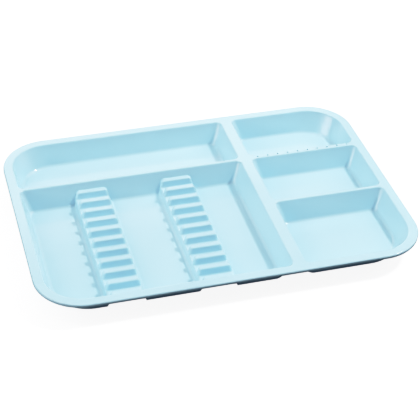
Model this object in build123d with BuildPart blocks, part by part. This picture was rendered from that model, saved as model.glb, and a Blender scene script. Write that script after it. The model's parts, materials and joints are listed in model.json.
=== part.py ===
"""Divided instrument set-up tray for dental work: one thin moulding, modelled as its named regions.

Frame: millimetres, +X along the long side, +Y to the rear, +Z up.
The origin is the centre of the tray on the plane it rests on.
"""
from build123d import *
import os

# ---- Driving dimensions: whole tray -------------------------------------------------
tray_length = 339.7            # 13 3/8 in
tray_width = 244.5             # 9 5/8 in
tray_height = 22.2             # 7/8 in
outline_radius = 42.0          # plan radius of the tray's four corners
wall = 1.8                     # thickness of floors, deck and rack tops
side_wall = 2.0                # horizontal thickness of sloping walls

# ---- Rim ----------------------------------------------------------------------------
rim_width = 9.2                # from the outline to the edge of the well openings
lip_depth = 3.0                # height of the turned-down edge
lip_width = 1.6
lip_edge_radius = 1.2

# ---- Wells and cups -----------------------------------------------------------------
draft_run = 6.6                # how far a wall leans in between the deck and the floor
front_draft_run = 9.8          # the same for the walls along the tray's front edge
tray_corner_radius = 33.0      # well corners that follow the tray's corners, at every height
divider_corner_radius = 5.0    # every other well corner, at every height
foot_radius = 3.5              # fillet between floor and walls

# ---- Dividers: edges of their top faces ---------------------------------------------
spine_left = 46.0
spine_right = 57.8
left_divider_front = 45.0
left_divider_rear = 49.3
bur_divider_front = 44.6
bur_divider_rear = 50.8
cup_divider_front = -25.8
cup_divider_rear = -21.3

# ---- Bur holes along the bur divider ------------------------------------------------
bur_hole_count = 10
bur_hole_radius = 0.9
bur_hole_pitch = 9.9
bur_row_centre = 108.95

# ---- Instrument racks ---------------------------------------------------------------
rack_centres = {"instrument_rack_left": -95.8, "instrument_rack_right": -16.5}
rack_height = 15.4
rack_top_width = 28.0
rack_foot_width = 33.6         # at the level of the well floor
rack_shoulder_radius = 4.0     # along both sides of the teeth
slot_count = 10
slot_pitch = 14.57
slot_width = 9.2               # at the top of the teeth
slot_lean = 0.8                # how far each slot face leans in at the slot floor
slot_floor = 8.8
first_slot_rear = 38.5         # rear edge of the slot next to the left divider

# ---- Worked-out levels and edges ----------------------------------------------------
deck_bottom = tray_height - wall
inner_x = tray_length / 2 - rim_width
inner_y = tray_width / 2 - rim_width

openings = {                   # left, right, front, rear edges at the deck
    "rear_left_well": (-inner_x, spine_left, left_divider_rear, inner_y),
    "front_left_well": (-inner_x, spine_left, -inner_y, left_divider_front),
    "rear_cup": (spine_right, inner_x, bur_divider_rear, inner_y),
    "middle_cup": (spine_right, inner_x, cup_divider_rear, bur_divider_front),
    "front_cup": (spine_right, inner_x, -inner_y, cup_divider_front),
}


def save(part, name):
    """Label a finished piece and write it as one STEP file."""
    part.label = name
    export_step(part, f"parts/{name}.step")


def opening_section(edges, height, grow=0.0):
    """Face of a well's plan outline at a height, grown outwards by a wall thickness."""
    left, right, front, rear = edges
    depth = (deck_bottom - height) / (deck_bottom - wall)
    points = []
    radii = []
    for x, y in ((left, front), (right, front), (right, rear), (left, rear)):
        inward_x = 1 if x == left else -1
        inward_y = 1 if y == front else -1
        inset_x = draft_run * depth - grow
        inset_y = (front_draft_run if y == -inner_y else draft_run) * depth - grow
        points.append((x + inward_x * inset_x, y + inward_y * inset_y))
        at_tray_corner = abs(x) == inner_x and abs(y) == inner_y
        radii.append((tray_corner_radius if at_tray_corner else divider_corner_radius) + grow)
    with BuildSketch(Plane.XY.offset(height)) as section:
        with BuildLine():
            FilletPolyline(*points, radius=radii, close=True)
        make_face()
    return section.sketch


def well_space(edges):
    """The room inside a well, from its floor to the deck, with a filleted foot."""
    with BuildPart() as space:
        loft([opening_section(edges, wall), opening_section(edges, deck_bottom)], ruled=True)
        fillet(space.edges().group_by(Axis.Z)[0], radius=foot_radius)
    return space.part


def well_block(edges):
    """The outside of a well's moulding, from the rest plane to the deck."""
    with BuildPart() as block:
        base = opening_section(edges, 0.0, side_wall)
        top = opening_section(edges, deck_bottom, side_wall)
        loft([base, top], ruled=True)
    return block.part


def rack_block(centre, hollow=False):
    """Toothed bar that fills a rack's outside, or the smaller one that is its hollow."""
    skin_side = side_wall if hollow else 0.0
    skin_top = wall if hollow else 0.0
    rack_slope = (rack_foot_width - rack_top_width) / 2 / (rack_height - wall)
    top = rack_height - skin_top
    half_top = rack_top_width / 2 + rack_slope * skin_top - skin_side
    half_base = rack_top_width / 2 + rack_slope * rack_height - skin_side
    floor = slot_floor - skin_top
    with BuildPart() as block:
        with BuildSketch(Plane.XZ.offset(-inner_y)) as profile:
            with BuildLine():
                Polyline(
                    (centre - half_base, 0),
                    (centre + half_base, 0),
                    (centre + half_top, top),
                    (centre - half_top, top),
                    close=True,
                )
            make_face()
            shoulders = profile.vertices().group_by(Axis.Y)[-1]
            fillet(shoulders, radius=rack_shoulder_radius - skin_side)
        extrude(amount=2 * inner_y)
        for index in range(slot_count):
            rear = first_slot_rear - index * slot_pitch + skin_side
            front = rear - slot_width - 2 * skin_side
            with BuildSketch(Plane.YZ.offset(centre)):
                with BuildLine():
                    Polyline(
                        (rear, top),
                        (rear - slot_lean, floor),
                        (front + slot_lean, floor),
                        (front, top),
                        close=True,
                    )
                make_face()
            extrude(amount=half_base, both=True, mode=Mode.SUBTRACT)
    return block.part


def divider_cap_sketch(left, right, front, rear):
    """Top face of a divider between the well openings that it separates."""
    with BuildSketch(Plane.XY.offset(deck_bottom)) as cap:
        with Locations(((left + right) / 2, (front + rear) / 2)):
            Rectangle(right - left, rear - front)
        for edges in openings.values():
            add(opening_section(edges, deck_bottom), mode=Mode.SUBTRACT)
    return cap.sketch


os.makedirs("parts", exist_ok=True)

# ---- Rim: turned-down lip, then the flat flange inside it ---------------------------
with BuildPart() as rim_lip:
    with BuildSketch(Plane.XY.offset(tray_height - lip_depth)):
        RectangleRounded(tray_length, tray_width, outline_radius)
        offset(amount=-lip_width, mode=Mode.SUBTRACT)
    extrude(amount=lip_depth)
    top_edges = rim_lip.faces().sort_by(Axis.Z)[-1].outer_wire().edges()
    fillet(top_edges, radius=lip_edge_radius)
save(rim_lip.part, "rim_lip")

with BuildPart() as rim_flange:
    with BuildSketch(Plane.XY.offset(deck_bottom)):
        RectangleRounded(
            tray_length - 2 * lip_width,
            tray_width - 2 * lip_width,
            outline_radius - lip_width,
        )
        RectangleRounded(2 * inner_x, 2 * inner_y, tray_corner_radius, mode=Mode.SUBTRACT)
    extrude(amount=wall)
save(rim_flange.part, "rim_flange")

# ---- Divider caps: the deck between the openings ------------------------------------
spine_zone_left = spine_left - divider_corner_radius
spine_zone_right = spine_right + divider_corner_radius

with BuildPart() as spine_cap:
    add(divider_cap_sketch(spine_zone_left, spine_zone_right, -inner_y, inner_y))
    extrude(amount=wall)
save(spine_cap.part, "spine_cap")

with BuildPart() as left_divider_cap:
    add(
        divider_cap_sketch(
            -inner_x,
            spine_zone_left,
            left_divider_front - divider_corner_radius,
            left_divider_rear + divider_corner_radius,
        )
    )
    extrude(amount=wall)
save(left_divider_cap.part, "left_divider_cap")

with BuildPart() as cup_divider_cap:
    add(
        divider_cap_sketch(
            spine_zone_right,
            inner_x,
            cup_divider_front - divider_corner_radius,
            cup_divider_rear + divider_corner_radius,
        )
    )
    extrude(amount=wall)
save(cup_divider_cap.part, "cup_divider_cap")

bur_row_y = (bur_divider_front + bur_divider_rear) / 2
with BuildPart() as bur_divider_cap:
    add(
        divider_cap_sketch(
            spine_zone_right,
            inner_x,
            bur_divider_front - divider_corner_radius,
            bur_divider_rear + divider_corner_radius,
        )
    )
    extrude(amount=wall)
    with BuildSketch(Plane.XY.offset(deck_bottom)):
        with Locations((bur_row_centre, bur_row_y)):
            with GridLocations(bur_hole_pitch, 0, bur_hole_count, 1):
                Circle(bur_hole_radius)
    extrude(amount=wall, mode=Mode.SUBTRACT)
save(bur_divider_cap.part, "bur_divider_cap")

# ---- Wells and cups: floor and walls in one skin ------------------------------------
for well_name, well_edges in openings.items():
    with BuildPart() as well:
        add(well_block(well_edges))
        add(well_space(well_edges), mode=Mode.SUBTRACT)
        if well_name == "front_left_well":
            for rack_centre in rack_centres.values():
                add(rack_block(rack_centre), mode=Mode.SUBTRACT)
    save(well.part, well_name)

# ---- Instrument racks: hollow toothed bars that rise out of the front left well -----
for rack_name, rack_centre in rack_centres.items():
    with BuildPart() as rack:
        add(rack_block(rack_centre))
        add(rack_block(rack_centre, hollow=True), mode=Mode.SUBTRACT)
        add(well_block(openings["front_left_well"]), mode=Mode.INTERSECT)
    save(rack.part, rack_name)
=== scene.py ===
"""Divided instrument tray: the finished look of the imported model, in metres, in the row frame."""
import json
import math

import bmesh
import bpy
from mathutils import Matrix, Vector, geometry


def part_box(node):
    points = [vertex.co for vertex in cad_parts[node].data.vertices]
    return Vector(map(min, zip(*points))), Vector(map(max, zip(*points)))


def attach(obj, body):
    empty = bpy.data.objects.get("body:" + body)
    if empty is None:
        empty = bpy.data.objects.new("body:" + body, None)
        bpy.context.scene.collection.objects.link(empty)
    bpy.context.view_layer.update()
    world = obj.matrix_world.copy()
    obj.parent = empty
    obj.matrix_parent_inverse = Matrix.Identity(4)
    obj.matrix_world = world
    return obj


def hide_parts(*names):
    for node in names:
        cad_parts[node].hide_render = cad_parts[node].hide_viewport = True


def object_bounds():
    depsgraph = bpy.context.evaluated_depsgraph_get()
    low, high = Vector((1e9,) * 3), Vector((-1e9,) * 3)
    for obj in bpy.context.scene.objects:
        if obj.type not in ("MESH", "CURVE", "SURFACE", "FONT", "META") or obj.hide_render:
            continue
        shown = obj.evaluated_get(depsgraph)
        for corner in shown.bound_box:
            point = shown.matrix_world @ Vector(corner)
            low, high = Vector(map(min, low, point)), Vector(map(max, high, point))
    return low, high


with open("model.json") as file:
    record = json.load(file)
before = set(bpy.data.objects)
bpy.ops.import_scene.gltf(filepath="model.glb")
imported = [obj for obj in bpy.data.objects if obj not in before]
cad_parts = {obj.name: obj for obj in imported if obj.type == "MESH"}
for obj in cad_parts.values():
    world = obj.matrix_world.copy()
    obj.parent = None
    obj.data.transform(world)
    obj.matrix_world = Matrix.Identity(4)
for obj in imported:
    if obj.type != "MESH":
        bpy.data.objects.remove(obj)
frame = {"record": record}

cad_low, cad_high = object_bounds()

MM = 0.001
WELD = 1e-6                          # points closer than this are one point

# ---- Sizes that the frame gives ----------------------------------------------------------
TOP = cad_high.z
HALF_LENGTH = cad_high.x
HALF_WIDTH = cad_high.y
LIP_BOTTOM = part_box("rim_lip")[0].z
DECK_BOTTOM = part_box("rim_flange")[0].z
LIP_WIDTH = cad_high.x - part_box("rim_flange")[1].x
WALL = TOP - DECK_BOTTOM             # floors, deck and rack tops have one thickness

# ---- Sizes of the moulding's radii and slopes --------------------------------------------
SIDE_WALL = 2.0 * MM                 # sloping walls, measured level
DRAFT_RUN = 6.6 * MM                 # lean of a wall between deck and floor
FRONT_DRAFT_RUN = 9.8 * MM           # the same for the walls along the front rim
OUTLINE_RADIUS = 42.0 * MM
TRAY_CORNER_RADIUS = 33.0 * MM       # well corners beside the tray's corners
DIVIDER_CORNER_RADIUS = 5.0 * MM     # all other well corners
OPENING_EDGE_RADIUS = 1.5 * MM       # rolled edge between deck and walls
FOOT_RADIUS = 3.5 * MM
BASE_RADIUS = FOOT_RADIUS + SIDE_WALL  # outer edge that the tray stands on
LIP_TOP_RADIUS = 1.3 * MM
LIP_FOOT_RADIUS = 0.6 * MM
BUR_HOLE_CHAMFER = 0.1 * MM

TRAY_CORNER_STEPS = 22
DIVIDER_CORNER_STEPS = 10
FILLET_STEPS = 6
HOLE_STEPS = 24
SHOULDER_STEPS = 5
BEVEL_SEGMENTS = 4

# ---- Racks -------------------------------------------------------------------------------
RACKS = {"instrument_rack_left": "rack_left_slot", "instrument_rack_right": "rack_right_slot"}
RACK_TOP_WIDTH = 28.0 * MM
SLOT_WIDTH = 9.2 * MM
SLOT_LEAN = 0.8 * MM
SLOT_FLOOR = 8.8 * MM
SHOULDER_RADIUS = 4.0 * MM           # along both sides of the teeth
TOOTH_SIDE_RADIUS = 2.6 * MM
TOOTH_TOP_RADIUS = 1.1 * MM
RACK_FOOT_RADIUS = 2.2 * MM
RACK_SEAT = 0.15 * MM                # how far a wall's notch reaches into the rack
RACK_END_GAP = 0.05 * MM             # keeps a rack's ends behind the wall's outside
FOOT_STRIP = RACK_FOOT_RADIUS * 1.02  # strip of floor beside a rack that its foot fillet needs
FOOT_STRIP_DROP = 0.02 * MM          # how far the strip falls away
FOOT_STRIP_DEPTH = 0.4 * MM
WELL_WITH_RACKS = "front_left_well"

rack_low, rack_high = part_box("instrument_rack_left")
rack_top = rack_high.z
rack_foot_half = (rack_high.x - rack_low.x) / 2
rack_lean = (rack_foot_half - RACK_TOP_WIDTH / 2) / rack_top
rack_side_angle = math.atan(rack_lean)
shoulder_centre_height = rack_top - SHOULDER_RADIUS
shoulder_foot = shoulder_centre_height + SHOULDER_RADIUS * math.sin(rack_side_angle)
shoulder_reach = SHOULDER_RADIUS * math.tan((math.pi / 2 - rack_side_angle) / 2)

WELLS = ("rear_left_well", "front_left_well", "rear_cup", "middle_cup", "front_cup")
CORNERS = ("fl", "fr", "rr", "rl")   # front left, front right, rear right, rear left

# the openings' edges along the rim
INNER_X = max(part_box(name)[1].x for name in WELLS) - SIDE_WALL
INNER_Y = max(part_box(name)[1].y for name in WELLS) - SIDE_WALL

slope = DRAFT_RUN / (DECK_BOTTOM - WALL)
front_slope = FRONT_DRAFT_RUN / (DECK_BOTTOM - WALL)
turn = math.pi / 2 - math.atan(slope)  # between a level face and a wall


# ---- Plan outlines -----------------------------------------------------------------------
class Well:
    """Plan outline of one well, at any inset from its edge at the deck."""

    def __init__(self, name):
        low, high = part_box(name)
        self.left = low.x + SIDE_WALL
        self.right = high.x - SIDE_WALL
        self.front = low.y + SIDE_WALL
        self.rear = high.y - SIDE_WALL
        self.at_front_rim = abs(self.front + INNER_Y) < WELD
        self.at_tray_corner = [
            abs(abs(x) - INNER_X) < WELD and abs(abs(y) - INNER_Y) < WELD
            for x, y in (
                (self.left, self.front),
                (self.right, self.front),
                (self.right, self.rear),
                (self.left, self.rear),
            )
        ]
        self.corner_steps = [
            TRAY_CORNER_STEPS if at_corner else DIVIDER_CORNER_STEPS
            for at_corner in self.at_tray_corner
        ]

    def corner_radius(self, corner, inset):
        """Down a wall the corner radius stays the same. Above and below, it follows the inset."""
        radius = TRAY_CORNER_RADIUS if self.at_tray_corner[corner] else DIVIDER_CORNER_RADIUS
        on_wall = min(max(inset, 0.0), DRAFT_RUN)
        return radius - (inset - on_wall)

    def front_at(self, offset, height):
        """Y of the well's front side, which leans in more where it is the tray's front wall."""
        if self.at_front_rim and height < DECK_BOTTOM:
            offset += (DECK_BOTTOM - height) * (front_slope - slope)
        return self.front + offset

    def ring(self, inset, height, grow=0.0, notches=()):
        """Points round the well, anticlockwise from the front left corner."""
        radii = [self.corner_radius(i, inset) + grow for i in range(4)]
        offset = inset - grow
        front = self.front_at(offset, height)
        box = (self.left + offset, self.right - offset, front, self.rear - offset)
        return rounded_ring(box, radii, self.corner_steps, height, notches)

    def columns(self):
        """Where each corner's arc starts and ends in a ring without notches."""
        marks = {}
        column = 0
        for corner, steps in zip(CORNERS, self.corner_steps):
            marks[corner + "_start"] = column
            marks[corner + "_end"] = column + steps
            column += steps + 1
        return marks


def rounded_ring(box, radii, steps, height, notches=()):
    """A rounded rectangle at a height. Notches are x positions on its front and rear sides."""
    left, right, front, rear = box
    centres = (
        (left + radii[0], front + radii[0]),
        (right - radii[1], front + radii[1]),
        (right - radii[2], rear - radii[2]),
        (left + radii[3], rear - radii[3]),
    )
    points = []
    for i, (centre_x, centre_y) in enumerate(centres):
        start = math.pi * (1 + i / 2)
        for step in range(steps[i] + 1):
            angle = start + math.pi / 2 * step / steps[i]
            x = centre_x + radii[i] * math.cos(angle)
            y = centre_y + radii[i] * math.sin(angle)
            points.append(Vector((x, y, height)))
        if i == 0:
            points += [Vector((x, front, height)) for x in notches]
        if i == 2:
            points += [Vector((x, rear, height)) for x in reversed(notches)]
    return points


def outline_ring(inset, height):
    """A ring at an inset from the tray's outline."""
    box = (
        -HALF_LENGTH + inset,
        HALF_LENGTH - inset,
        -HALF_WIDTH + inset,
        HALF_WIDTH - inset,
    )
    return rounded_ring(box, [OUTLINE_RADIUS - inset] * 4, [TRAY_CORNER_STEPS] * 4, height)


# ---- Profiles: (inset, height) pairs down a wall -----------------------------------------
def opening_edge_profile():
    """Rolled edge from the level deck to the sloping wall, ending at the deck's underside."""
    tangent = OPENING_EDGE_RADIUS * math.tan(turn / 2)
    centre_inset = -WALL * slope - tangent
    centre_height = TOP - OPENING_EDGE_RADIUS
    profile = []
    for step in range(FILLET_STEPS + 1):
        angle = turn * step / FILLET_STEPS
        inset = centre_inset + OPENING_EDGE_RADIUS * math.sin(angle)
        height = centre_height + OPENING_EDGE_RADIUS * math.cos(angle)
        profile.append((inset, height))
    profile.append((0.0, DECK_BOTTOM))
    return profile


def inner_wall_profile(cut_heights=()):
    """Well wall from the deck's underside to the flat floor, through the foot fillet."""
    profile = [(0.0, DECK_BOTTOM)]
    profile += [((DECK_BOTTOM - height) * slope, height) for height in cut_heights]
    centre_inset = DRAFT_RUN + FOOT_RADIUS * math.tan(turn / 2)
    centre_height = WALL + FOOT_RADIUS
    for step in range(FILLET_STEPS + 1):
        angle = turn * (1 - step / FILLET_STEPS)
        inset = centre_inset - FOOT_RADIUS * math.sin(angle)
        height = centre_height - FOOT_RADIUS * math.cos(angle)
        profile.append((inset, height))
    return profile


def base_inset(height):
    """Inset of a wall's outside at a height, through the rounded base."""
    if height > BASE_RADIUS * (1 - math.cos(turn)):
        return (DECK_BOTTOM - height) * slope
    centre_inset = DECK_BOTTOM * slope + BASE_RADIUS * math.tan(turn / 2)
    return centre_inset - math.sqrt(BASE_RADIUS**2 - (BASE_RADIUS - height) ** 2)


def outer_wall_profile(cut_heights=()):
    """Outside of the wall from the deck's underside to the base that the tray stands on."""
    profile = [(0.0, DECK_BOTTOM)]
    profile += [(base_inset(height), height) for height in cut_heights]
    for step in range(FILLET_STEPS + 1):
        angle = turn * (1 - step / FILLET_STEPS)
        height = BASE_RADIUS * (1 - math.cos(angle))
        profile.append((base_inset(height), height))
    return profile


# ---- Meshes from loose faces -------------------------------------------------------------
SHARP_ANGLE = math.radians(32.0)     # edges that turn more than this are shaded sharp
FLAT_FACE_WEIGHT = 80


class Shell:
    """Collects faces by their corner points and welds them into one closed mesh."""

    def __init__(self, name):
        self.name = name
        self.faces = []

    def face(self, *points):
        self.faces.append([Vector(p) for p in points])

    def band(self, upper, lower, left_out=()):
        """Quads between two rings of the same length, but for the steps that are left out."""
        count = len(upper)
        for i in range(count):
            if i not in left_out:
                j = (i + 1) % count
                self.face(upper[i], lower[i], lower[j], upper[j])

    def build(self, material, weights=None):
        """Makes the object. Weights is a function that marks the mesh's bevelled edges."""
        mesh_data = bmesh.new()
        for points in self.faces:
            corners = [mesh_data.verts.new(p) for p in points]
            mesh_data.faces.new(corners)
        bmesh.ops.remove_doubles(mesh_data, verts=mesh_data.verts, dist=WELD)
        bmesh.ops.recalc_face_normals(mesh_data, faces=mesh_data.faces)
        for face in mesh_data.faces:
            face.smooth = True
        for edge in mesh_data.edges:
            edge.smooth = edge.calc_face_angle(0.0) <= SHARP_ANGLE
        if weights:
            weights(mesh_data)
        data = bpy.data.meshes.new(self.name)
        mesh_data.to_mesh(data)
        mesh_data.free()
        piece = bpy.data.objects.new(self.name, data)
        bpy.context.scene.collection.objects.link(piece)
        data.materials.append(material)
        return piece


def keep_flats_flat(piece):
    """Shades flat faces flat, with the turn in the fillets between them."""
    weighted = piece.modifiers.new("weighted_normals", "WEIGHTED_NORMAL")
    weighted.mode = "FACE_AREA"
    weighted.weight = FLAT_FACE_WEIGHT
    weighted.keep_sharp = True


wells = {name: Well(name) for name in WELLS}


# ---- Material ----------------------------------------------------------------------------
AQUA_DEEP = (0.480, 0.765, 0.895, 1)
AQUA_PALE = (0.512, 0.797, 0.925, 1)
GLOSS_RANGE = (0.08, 0.14)           # roughness, from polished to handled
FLOW_NOISE = (14.0, 3.0)             # noise cells per metre, detail
SCUFF_NOISE = (60.0, 6.0)
GRAIN_NOISE = (900.0, 2.0)
NOISE_RANGE = (0.3, 0.7)             # the part of the noise's values that is spread out
GRAIN_DEPTH = 0.2 * MM
GRAIN_STRENGTH = 0.05
PLASTIC_IOR = 1.5


def noise_map(material, place, scale, detail, low, high):
    """A procedural value between low and high that wanders over the surface."""
    nodes = material.node_tree.nodes
    links = material.node_tree.links
    noise = nodes.new("ShaderNodeTexNoise")
    noise.inputs["Scale"].default_value = scale
    noise.inputs["Detail"].default_value = detail
    spread = nodes.new("ShaderNodeMapRange")
    spread.inputs["From Min"].default_value = NOISE_RANGE[0]
    spread.inputs["From Max"].default_value = NOISE_RANGE[1]
    spread.inputs["To Min"].default_value = low
    spread.inputs["To Max"].default_value = high
    links.new(place.outputs["Object"], noise.inputs["Vector"])
    links.new(noise.outputs["Fac"], spread.inputs["Value"])
    return spread.outputs["Result"]


def tray_plastic():
    """Smooth moulded plastic in pale aqua, with faint flow marks and handling wear."""
    material = bpy.data.materials.new("tray_plastic")
    material.use_nodes = True
    nodes = material.node_tree.nodes
    links = material.node_tree.links
    shader = nodes["Principled BSDF"]
    shader.inputs["IOR"].default_value = PLASTIC_IOR

    place = nodes.new("ShaderNodeTexCoord")
    flow = noise_map(material, place, *FLOW_NOISE, 0.0, 1.0)
    tint = nodes.new("ShaderNodeValToRGB")
    tint.color_ramp.elements[0].color = AQUA_DEEP
    tint.color_ramp.elements[1].color = AQUA_PALE
    links.new(flow, tint.inputs["Fac"])
    links.new(tint.outputs["Color"], shader.inputs["Base Color"])

    scuff = noise_map(material, place, *SCUFF_NOISE, *GLOSS_RANGE)
    links.new(scuff, shader.inputs["Roughness"])

    grain = noise_map(material, place, *GRAIN_NOISE, 0.0, 1.0)
    bump = nodes.new("ShaderNodeBump")
    bump.inputs["Strength"].default_value = GRAIN_STRENGTH
    bump.inputs["Distance"].default_value = GRAIN_DEPTH
    links.new(grain, bump.inputs["Height"])
    links.new(bump.outputs["Normal"], shader.inputs["Normal"])
    return material


plastic = tray_plastic()


def finish_piece(piece, node):
    """Puts a piece in the place of its CAD node, on the tray's one body."""
    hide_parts(node)
    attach(piece, "root")


# ---- Rim lip: the turned-down edge -------------------------------------------------------
def make_lip():
    """Turned-down edge with a rounded top and foot."""
    shell = Shell("tray_rim_lip")
    rings = [outline_ring(LIP_WIDTH, TOP)]
    for step in range(FILLET_STEPS + 1):
        angle = math.pi / 2 * step / FILLET_STEPS
        inset = LIP_TOP_RADIUS * (1 - math.sin(angle))
        rings.append(outline_ring(inset, TOP - LIP_TOP_RADIUS * (1 - math.cos(angle))))
    for step in range(FILLET_STEPS + 1):
        angle = math.pi / 2 * step / FILLET_STEPS
        inset = LIP_FOOT_RADIUS * (1 - math.cos(angle))
        rings.append(outline_ring(inset, LIP_BOTTOM + LIP_FOOT_RADIUS * (1 - math.sin(angle))))
    rings.append(outline_ring(LIP_WIDTH, LIP_BOTTOM))
    rings.append(outline_ring(LIP_WIDTH, DECK_BOTTOM))
    for upper, lower in zip(rings, rings[1:] + rings[:1]):
        shell.band(upper, lower)
    piece = shell.build(plastic)
    keep_flats_flat(piece)
    finish_piece(piece, "rim_lip")


# ---- Deck: rim flange and divider caps ---------------------------------------------------
edge_profile = opening_edge_profile()
edge_rings = {
    name: [well.ring(inset, height) for inset, height in edge_profile]
    for name, well in wells.items()
}
rim_edge = -edge_profile[0][0]       # how far the flat deck starts outside an opening's edge
DECK_X = INNER_X + rim_edge
DECK_Y = INNER_Y + rim_edge

spine_low, spine_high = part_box("spine_cap")
DIVIDER_CAPS = ("left_divider_cap", "bur_divider_cap", "cup_divider_cap")


def deck_piece_at(x, y):
    """Name of the deck's node that a point in plan belongs to."""
    if abs(x) > DECK_X or abs(y) > DECK_Y:
        return "rim_flange"
    if spine_low.x < x < spine_high.x:
        return "spine_cap"
    for name in DIVIDER_CAPS:
        low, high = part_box(name)
        same_side = (x < spine_low.x) == (high.x < spine_high.x)
        if same_side and low.y < y < high.y:
            return name
    return "rim_flange"


def bur_holes():
    """Centre and radius of each bur hole, from the record's mounts."""
    return [
        (Vector(mount["pos_m"]), mount["dims"]["r_mm"] * MM)
        for mount in frame["record"]["mounts"]
        if mount["kind"] == "bore"
    ]


def circle(centre, radius, height):
    """Points round a level circle."""
    return [
        Vector(
            (
                centre.x + radius * math.cos(2 * math.pi * i / HOLE_STEPS),
                centre.y + radius * math.sin(2 * math.pi * i / HOLE_STEPS),
                height,
            )
        )
        for i in range(HOLE_STEPS)
    ]


# each seam joins a corner of one opening to a corner of the next, between two of the deck's nodes
SEAMS = (
    ("rear_left_well", "rr_end", "rear_cup", "rl_start", "rim_flange", "spine_cap"),
    ("front_left_well", "fr_start", "front_cup", "fl_end", "rim_flange", "spine_cap"),
    ("front_left_well", "rl_end", "rear_left_well", "fl_start", "rim_flange", "left_divider_cap"),
    ("middle_cup", "rr_start", "rear_cup", "fr_end", "rim_flange", "bur_divider_cap"),
    ("front_cup", "rr_start", "middle_cup", "fr_end", "rim_flange", "cup_divider_cap"),
    ("front_left_well", "rr_end", "rear_left_well", "fr_start", "spine_cap", "left_divider_cap"),
    ("middle_cup", "rl_start", "rear_cup", "fl_end", "spine_cap", "bur_divider_cap"),
    ("front_cup", "rl_start", "middle_cup", "fl_end", "spine_cap", "cup_divider_cap"),
)


def inside(point, loop):
    """True if a plan point is inside a loop, by counting crossings."""
    crossed = False
    for a, b in zip(loop, loop[1:] + loop[:1]):
        if (a.y > point.y) != (b.y > point.y):
            if point.x < a.x + (point.y - a.y) / (b.y - a.y) * (b.x - a.x):
                crossed = not crossed
    return crossed


def level_face(shells, height, outer, holes, seams):
    """Fills a level face between an outer loop and holes, and shares it among the deck's nodes."""
    points = []
    edges = []
    for loop in [outer, *holes]:
        first = len(points)
        points += [Vector((p.x, p.y)) for p in loop]
        edges += [(first + i, first + (i + 1) % len(loop)) for i in range(len(loop))]
    for a, b in seams:
        first = len(points)
        points += [Vector((a.x, a.y)), Vector((b.x, b.y))]
        edges.append((first, first + 1))
    verts, _, faces, *_ = geometry.delaunay_2d_cdt(points, edges, [], 0, WELD)
    for face in faces:
        corners = [verts[i] for i in face]
        middle = sum(corners, Vector((0, 0))) / len(corners)
        if not inside(middle, outer) or any(inside(middle, hole) for hole in holes):
            continue
        shell = shells[deck_piece_at(middle.x, middle.y)]
        shell.face(*[Vector((c.x, c.y, height)) for c in corners])


def add_opening_edges(shells):
    """Rolled edges of the openings, each step of them in the deck's node outside it."""
    for rings in edge_rings.values():
        deck_ring = rings[0]
        count = len(deck_ring)
        for i in range(count):
            j = (i + 1) % count
            a, b = deck_ring[i], deck_ring[j]
            along = (b - a).normalized()
            outward = (a + b) / 2 + Vector((along.y, -along.x, 0)) * 2 * WELD
            shell = shells[deck_piece_at(outward.x, outward.y)]
            for upper, lower in zip(rings, rings[1:]):
                shell.face(upper[i], lower[i], lower[j], upper[j])


def add_seams(shells):
    """Faces where the deck's nodes meet. Returns the seams' lines on its top and its bottom."""
    top_seams = []
    bottom_seams = []
    for well_a, mark_a, well_b, mark_b, *pieces in SEAMS:
        column_a = wells[well_a].columns()[mark_a]
        column_b = wells[well_b].columns()[mark_b]
        side_a = [ring[column_a] for ring in edge_rings[well_a]]
        side_b = [ring[column_b] for ring in edge_rings[well_b]]
        top_seams.append((side_a[0], side_b[0]))
        bottom_seams.append((side_a[-1], side_b[-1]))
        for i in range(len(side_a) - 1):
            for piece in pieces:
                shells[piece].face(side_a[i], side_b[i], side_b[i + 1], side_a[i + 1])
    return top_seams, bottom_seams


def add_bur_holes(shell):
    """Chamfered holes through the bur divider. Returns their rims on its top and its bottom."""
    mouths = []
    feet = []
    for centre, radius in bur_holes():
        mouth = circle(centre, radius + BUR_HOLE_CHAMFER, TOP)
        throat = circle(centre, radius, TOP - BUR_HOLE_CHAMFER)
        foot = circle(centre, radius, DECK_BOTTOM)
        shell.band(mouth, throat)
        shell.band(throat, foot)
        mouths.append(mouth)
        feet.append(foot)
    return mouths, feet


def make_deck():
    """Rim flange and divider caps: one level skin, shared among five nodes at plain seams."""
    names = ("rim_flange", "spine_cap", *DIVIDER_CAPS)
    shells = {name: Shell("tray_" + name) for name in names}
    add_opening_edges(shells)
    top_seams, bottom_seams = add_seams(shells)
    mouths, feet = add_bur_holes(shells["bur_divider_cap"])

    lip_top = outline_ring(LIP_WIDTH, TOP)
    lip_bottom = outline_ring(LIP_WIDTH, DECK_BOTTOM)
    shells["rim_flange"].band(lip_top, lip_bottom)
    top_holes = [rings[0] for rings in edge_rings.values()] + mouths
    bottom_holes = [rings[-1] for rings in edge_rings.values()] + feet
    level_face(shells, TOP, lip_top, top_holes, top_seams)
    level_face(shells, DECK_BOTTOM, lip_bottom, bottom_holes, bottom_seams)

    for name, shell in shells.items():
        piece = shell.build(plastic)
        keep_flats_flat(piece)
        finish_piece(piece, name)


# ---- Widths of the racks, which the notches in their well follow -------------------------
def rack_half_width(height):
    """Half of a rack's outside width at a height, sides leaning in upwards to sharp shoulders."""
    return rack_foot_half - rack_lean * height


def hollow_half_width(height):
    """Half of the width of a rack's hollow at a height."""
    return rack_half_width(height) - SIDE_WALL


def rounded_half_width(height):
    """Half of a rack's outside width at a height, with its shoulders rounded."""
    if height <= shoulder_foot:
        return rack_half_width(height)
    centre = rack_half_width(shoulder_centre_height) - SHOULDER_RADIUS / math.cos(rack_side_angle)
    return centre + math.sqrt(SHOULDER_RADIUS**2 - (height - shoulder_centre_height) ** 2)


def rack_centre(name):
    """X of a rack's middle."""
    low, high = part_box(name)
    return (low.x + high.x) / 2


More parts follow.
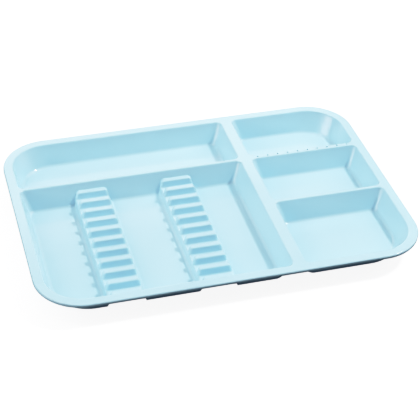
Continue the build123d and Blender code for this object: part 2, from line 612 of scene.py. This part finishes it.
# ---- Wells and cups ----------------------------------------------------------------------
def make_plain_well(name):
    """A well with an unbroken floor."""
    well = wells[name]
    shell = Shell("tray_" + name)
    inner = [well.ring(inset, height) for inset, height in inner_wall_profile()]
    outer = [well.ring(inset, height, SIDE_WALL) for inset, height in outer_wall_profile()]
    for rings in (inner, outer):
        for upper, lower in zip(rings, rings[1:]):
            shell.band(upper, lower)
        shell.face(*rings[-1])
    shell.band(inner[0], outer[0])
    piece = shell.build(plastic)
    keep_flats_flat(piece)
    finish_piece(piece, name)


def cut_levels():
    """Heights at which the end walls' notches follow the racks' shoulders, from the top down."""
    rise = rack_top - RACK_SEAT - shoulder_foot
    return [
        shoulder_foot + rise * math.cos(math.pi / 2 * step / SHOULDER_STEPS)
        for step in range(SHOULDER_STEPS + 1)
    ]


def notches(height):
    """X of both sides of each rack's notch at a height."""
    half = rounded_half_width(min(height, rack_top - RACK_SEAT)) - RACK_SEAT
    return [rack_centre(name) + side * half for name in RACKS for side in (-1, 1)]


def add_notch_sides(shell, inner, outer, columns, straight):
    """Cut faces of the skin along one side of a rack. Straight is the ring below its shoulders."""
    front_column, rear_column = columns
    for column in columns:
        for level in range(1, straight):
            shell.face(
                inner[level][column],
                inner[level + 1][column],
                outer[level + 1][column],
                outer[level][column],
            )
    inside_path = [ring[front_column] for ring in inner[straight:]]
    inside_path += [ring[rear_column] for ring in reversed(inner[straight:])]
    outside_path = [ring[rear_column] for ring in outer[straight:]]
    outside_path += [ring[front_column] for ring in reversed(outer[straight:])]
    shell.face(*inside_path, *outside_path)


def make_rack_well():
    """The well whose floor and end walls are notched for the two racks."""
    well = wells[WELL_WITH_RACKS]
    shell = Shell("tray_" + WELL_WITH_RACKS)
    levels = cut_levels()

    def rings_of(profile, grow):
        return [
            well.ring(inset, height, grow, notches(height)) for inset, height in profile
        ]

    inner = rings_of(inner_wall_profile(levels), 0.0)
    outer = rings_of(outer_wall_profile(levels), SIDE_WALL)
    # index of the first of the four notch points on the front side, and on the rear side
    front = TRAY_CORNER_STEPS + 1
    rear = len(inner[0]) - 2 * len(RACKS) - (DIVIDER_CORNER_STEPS + 1)
    open_steps = {front, front + 2, rear, rear + 2}

    for rings in (inner, outer):
        shell.band(rings[0], rings[1])
        for upper, lower in zip(rings[1:], rings[2:]):
            shell.band(upper, lower, left_out=open_steps)
        floor = rings[-1]
        shell.face(*floor[: front + 1], *floor[rear + 3 :])
        shell.face(*floor[front + 1 : front + 3], *floor[rear + 1 : rear + 3])
        shell.face(*floor[front + 3 : rear + 1])
    shell.band(inner[0], outer[0])
    for step in open_steps:
        shell.face(inner[1][step], inner[1][step + 1], outer[1][step + 1], outer[1][step])
    for k in range(2 * len(RACKS)):
        columns = (front + k, rear + 3 - k)
        add_notch_sides(shell, inner, outer, columns, straight=len(levels))
    piece = shell.build(plastic)
    keep_flats_flat(piece)
    finish_piece(piece, WELL_WITH_RACKS)


# ---- Instrument racks --------------------------------------------------------------------
def slot_centres(prefix):
    """Middle of each slot along Y, front to rear, from the record's openings."""
    boxes = [
        opening["box_m"]
        for opening in frame["record"]["physics"]["openings"]
        if opening["name"].startswith(prefix)
    ]
    return sorted((low[1] + high[1]) / 2 for low, high in boxes)


class Rack:
    """One hollow toothed bar, between the end walls of its well."""

    def __init__(self, name, prefix):
        self.well = wells[WELL_WITH_RACKS]
        self.centre = rack_centre(name)
        self.slots = slot_centres(prefix)

    def end_offset(self, height):
        """How far in from the well's edge at the deck the rack ends."""
        return base_inset(height) - SIDE_WALL + RACK_END_GAP

    def front_end(self, height):
        return self.well.front_at(self.end_offset(height), height)

    def rear_end(self, height):
        return self.well.rear - self.end_offset(height)

    def at(self, side, half, y, height):
        """A point on the left (-1) or right (1) side."""
        return Vector((self.centre + side * half, y, height))

    def comb(self, top, floor, shrink):
        """Side view of the teeth as (y, z) points, front to rear. Shrink narrows the teeth."""
        points = [(self.front_end(top), top)]
        half_top = SLOT_WIDTH / 2 + shrink
        half_floor = half_top - SLOT_LEAN
        for middle in self.slots:
            points += [
                (middle - half_top, top),
                (middle - half_floor, floor),
                (middle + half_floor, floor),
                (middle + half_top, top),
            ]
        points.append((self.rear_end(top), top))
        return points

    def skirt(self, side, end):
        """Points at one end, from the foot strip down the outside and under to the hollow."""
        strip_half = rack_half_width(WALL) + FOOT_STRIP
        strip_bottom = WALL - FOOT_STRIP_DEPTH
        profile = (
            (rack_half_width(WALL), WALL),
            (strip_half, WALL - FOOT_STRIP_DROP),
            (strip_half, strip_bottom),
            (rack_half_width(strip_bottom), strip_bottom),
            (rack_half_width(0.0), 0.0),
            (hollow_half_width(0.0), 0.0),
        )
        return [self.at(side, half, end(z), z) for half, z in profile]

    def add_side(self, shell, side, outer, inner):
        """Long side of the bar: its skirt, its outside and the side of its hollow."""
        front = self.skirt(side, self.front_end)
        rear = self.skirt(side, self.rear_end)
        for i in range(len(front) - 1):
            shell.face(front[i], front[i + 1], rear[i + 1], rear[i])
        outer_side = [self.at(side, rack_half_width(z), y, z) for y, z in outer]
        inner_side = [self.at(side, hollow_half_width(z), y, z) for y, z in inner]
        shell.face(front[0], *outer_side, rear[0])
        shell.face(front[-1], *inner_side, rear[-1])

    def add_comb(self, shell, points, half_at):
        """Faces across the bar, over its teeth and through its slots."""
        for (y0, z0), (y1, z1) in zip(points, points[1:]):
            shell.face(
                self.at(-1, half_at(z0), y0, z0),
                self.at(1, half_at(z0), y0, z0),
                self.at(1, half_at(z1), y1, z1),
                self.at(-1, half_at(z1), y1, z1),
            )

    def add_end(self, shell, end):
        """Arch-shaped end face round the mouth of the hollow."""
        hollow_top = rack_top - WALL
        shell.face(
            self.at(-1, rack_half_width(rack_top), end(rack_top), rack_top),
            self.at(1, rack_half_width(rack_top), end(rack_top), rack_top),
            *self.skirt(1, end),
            self.at(1, hollow_half_width(hollow_top), end(hollow_top), hollow_top),
            self.at(-1, hollow_half_width(hollow_top), end(hollow_top), hollow_top),
            *reversed(self.skirt(-1, end)),
        )

    def on_end_face(self, a, b):
        """True if two points are both on the front end face, or both on the rear one."""
        return any(
            abs(a.y - end(a.z)) < WELD and abs(b.y - end(b.z)) < WELD
            for end in (self.front_end, self.rear_end)
        )

    def rounding(self, edge):
        """How far the rounding of an edge reaches, 0 for an edge that stays as it is."""
        a, b = (v.co for v in edge.verts)
        if self.on_end_face(a, b):
            return 0.0
        if abs(a.z - WALL) < WELD and abs(b.z - WALL) < WELD:
            return RACK_FOOT_RADIUS
        if min(a.z, b.z) < SLOT_FLOOR - WELD:
            return 0.0
        if abs(a.x - b.x) > RACK_TOP_WIDTH / 2:
            creased = edge.calc_face_angle(0.0) > SHARP_ANGLE
            in_hollow = abs(a.z - (rack_top - WALL)) < WELD
            return TOOTH_TOP_RADIUS if creased and not in_hollow else 0.0
        middle = (a + b) / 2
        if abs(middle.x - self.centre) < hollow_half_width(middle.z) + SIDE_WALL / 2:
            return 0.0
        if abs(a.z - b.z) > WELD:
            return TOOTH_SIDE_RADIUS
        on_shoulder = abs(a.z - rack_top) < WELD
        return shoulder_reach if on_shoulder else TOOTH_TOP_RADIUS

    def mark_edges(self, mesh_data):
        """Weights each edge for the bevel, whose full width is the shoulders'."""
        weight = mesh_data.edges.layers.float.new("bevel_weight_edge")
        for edge in mesh_data.edges:
            edge[weight] = self.rounding(edge) / shoulder_reach


def round_edges(piece):
    """Rounds the marked edges."""
    bevel = piece.modifiers.new("rounded_edges", "BEVEL")
    bevel.limit_method = "WEIGHT"
    bevel.width = shoulder_reach
    bevel.segments = BEVEL_SEGMENTS
    bevel.use_clamp_overlap = True
    bevel.harden_normals = False


def make_rack(name, prefix):
    """Hollow toothed bar with rounded teeth and a filleted foot."""
    rack = Rack(name, prefix)
    shell = Shell("tray_" + name)
    outer = rack.comb(rack_top, SLOT_FLOOR, 0.0)
    inner = rack.comb(rack_top - WALL, SLOT_FLOOR - WALL, SIDE_WALL)
    for side in (-1, 1):
        rack.add_side(shell, side, outer, inner)
    rack.add_comb(shell, outer, rack_half_width)
    rack.add_comb(shell, inner, hollow_half_width)
    rack.add_end(shell, rack.front_end)
    rack.add_end(shell, rack.rear_end)
    piece = shell.build(plastic, rack.mark_edges)
    round_edges(piece)
    keep_flats_flat(piece)
    finish_piece(piece, name)


make_lip()
make_deck()
for well_name in WELLS:
    if well_name == WELL_WITH_RACKS:
        make_rack_well()
    else:
        make_plain_well(well_name)
for rack_name, slot_prefix in RACKS.items():
    make_rack(rack_name, slot_prefix)


# ---- Stage: floor, light and camera ------------------------------------------------------
FLOOR_HALF = 6.0
FLOOR_GAP = 0.2 * MM                 # the floor lies this far below the tray
LIGHT_DISTANCE = 1.5

# name: (direction from the tray), (width, height in metres), irradiance it gives at the tray
SOFT_LIGHTS = {
    "key_right": ((0.60, -0.05, 0.80), (0.12, 0.12), 1.85),
    "top_left": ((-0.43, 0.05, 0.90), (0.6, 1.1), 0.80),
    "top_right": ((0.43, 0.25, 0.87), (0.6, 0.6), 0.40),
    "top_back": ((0.0, 0.50, 0.87), (0.8, 0.5), 0.42),
    "side_right": ((0.80, 0.02, 0.58), (1.1, 0.6), 0.95),
    "side_left": ((-0.80, 0.0, 0.58), (1.2, 0.6), 0.90),
    "back": ((-0.10, 0.92, 0.38), (1.6, 0.9), 1.05),
    "low_left": ((-0.93, -0.25, 0.28), (1.35, 0.2), 0.89),
    "low_right": ((0.96, -0.26, 0.11), (1.8, 0.25), 0.28),
}
FLOOR_COLOUR = (0.5, 0.5, 0.5, 1)
FLOOR_ROUGHNESS = 0.9
FLOOR_GLOW = 1.2                     # keeps the backdrop white round the tray
ROOM_COLOUR = (0.25, 0.45, 1.0, 1)
ROOM_STRENGTH = 0.03

# soft shoulder of the picture: scene brightness, shown brightness
TONE_CURVE = (
    (0.30, 0.30),
    (0.50, 0.50),
    (0.66, 0.645),
    (0.88, 0.78),
    (1.06, 0.86),
    (1.26, 0.93),
)
WHITE_LEVEL = 1.6


def make_floor():
    """Pale floor that the plastic doesn't pick up, so the hollow underside stays dark."""
    mesh = bpy.data.meshes.new("floor")
    corners = [
        (-FLOOR_HALF, -FLOOR_HALF, 0),
        (FLOOR_HALF, -FLOOR_HALF, 0),
        (FLOOR_HALF, FLOOR_HALF, 0),
        (-FLOOR_HALF, FLOOR_HALF, 0),
    ]
    mesh.from_pydata(corners, [], [(0, 1, 2, 3)])
    floor = bpy.data.objects.new("floor", mesh)
    floor.location.z = -FLOOR_GAP
    floor.visible_diffuse = False
    floor.visible_glossy = False
    bpy.context.scene.collection.objects.link(floor)
    material = bpy.data.materials.new("floor_paint")
    material.use_nodes = True
    shader = material.node_tree.nodes["Principled BSDF"]
    shader.inputs["Base Color"].default_value = FLOOR_COLOUR
    shader.inputs["Roughness"].default_value = FLOOR_ROUGHNESS
    shader.inputs["Specular IOR Level"].default_value = 0.0
    shader.inputs["Emission Color"].default_value = (1, 1, 1, 1)
    shader.inputs["Emission Strength"].default_value = FLOOR_GLOW
    mesh.materials.append(material)


def soft_light(name, direction, size, irradiance):
    """A softbox that faces the tray from a direction."""
    away = Vector(direction).normalized()
    data = bpy.data.lights.new(name, "AREA")
    data.shape = "RECTANGLE"
    data.size, data.size_y = size
    data.energy = irradiance * math.pi * LIGHT_DISTANCE**2
    light = bpy.data.objects.new(name, data)
    light.location = away * LIGHT_DISTANCE
    light.rotation_euler = (-away).to_track_quat("-Z", "Y").to_euler()
    bpy.context.scene.collection.objects.link(light)


def make_lights():
    """Soft lights round the tray, and a faint blue room behind them."""
    for name, (direction, size, irradiance) in SOFT_LIGHTS.items():
        soft_light(name, direction, size, irradiance)
    world = bpy.data.worlds.new("studio")
    world.use_nodes = True
    background = world.node_tree.nodes["Background"]
    background.inputs["Color"].default_value = ROOM_COLOUR
    background.inputs["Strength"].default_value = ROOM_STRENGTH
    bpy.context.scene.world = world


def set_tone():
    """Keeps pale plastic from burning out beside the white floor."""
    view = bpy.context.scene.view_settings
    view.view_transform = "Standard"
    view.use_curve_mapping = True
    mapping = view.curve_mapping
    mapping.white_level = (WHITE_LEVEL, WHITE_LEVEL, WHITE_LEVEL)
    combined = mapping.curves[3]
    for scene_value, shown_value in TONE_CURVE:
        combined.points.new(scene_value / WHITE_LEVEL, shown_value)
    mapping.update()


def make_camera():
    """A long lens, looking down from the front left."""
    azimuth = math.radians(-16.66)
    elevation = math.radians(36.83)
    roll = math.radians(1.717)
    distance = 1.1516
    target = Vector((0.0024, -0.0084, 0.011))
    data = bpy.data.cameras.new("camera")
    data.sensor_width = 36.0
    data.lens = 109.48
    data.clip_start = 0.05
    camera = bpy.data.objects.new("camera", data)
    back = Vector(
        (
            math.sin(azimuth) * math.cos(elevation),
            -math.cos(azimuth) * math.cos(elevation),
            math.sin(elevation),
        )
    )
    camera.location = target + back * distance
    aim = (-back).to_track_quat("-Z", "Y")
    spin = Matrix.Rotation(roll, 4, "Z").to_quaternion()
    camera.rotation_mode = "QUATERNION"
    camera.rotation_quaternion = aim @ spin
    bpy.context.scene.collection.objects.link(camera)
    bpy.context.scene.camera = camera


make_floor()
make_lights()
make_camera()
set_tone()
